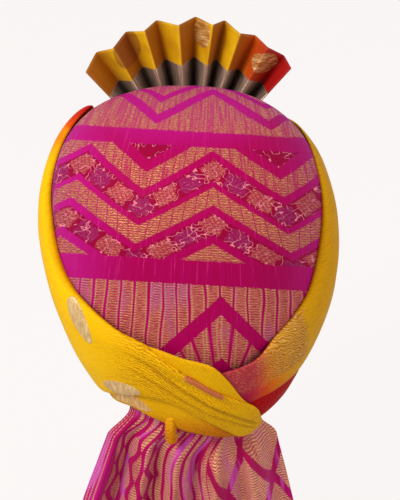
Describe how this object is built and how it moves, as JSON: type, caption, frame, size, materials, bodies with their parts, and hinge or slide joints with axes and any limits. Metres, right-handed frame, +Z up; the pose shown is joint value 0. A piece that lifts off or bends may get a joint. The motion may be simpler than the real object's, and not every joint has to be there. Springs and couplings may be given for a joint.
{
  "type": "tied turban pagri",
  "caption": "Wound cloth turban with a brocade crown, wrapped outer turns crossing at the nape, a pleated fan standing at the front and a tail hanging behind.",
  "frame": {"origin": "the centre of the head opening at brow level, where the turban sits on the head", "axes": "+Z up the wearer's head, +Y the way the wearer faces, +X the wearer's right hand; the picture looks along +Y from above the nape"},
  "size_m": [0.227, 0.2418, 0.4199],
  "materials": {
    "magenta_brocade": "satin brocade with gold thread",
    "yellow_cloth": "matte crepe",
    "crimson_cloth": "matte",
    "inner_cotton": "matte"
  },
  "bodies": {
    "root": {"crown_cloth": "magenta_brocade", "inner_winding": "inner_cotton", "last_turn": "yellow_cloth", "under_turn": "crimson_cloth", "front_fold_1": "yellow_cloth", "front_fold_2": "yellow_cloth", "front_fold_3": "yellow_cloth", "front_fold_4": "yellow_cloth", "fan": "yellow_cloth", "tail": "magenta_brocade"}
  },
  "joints": []
}
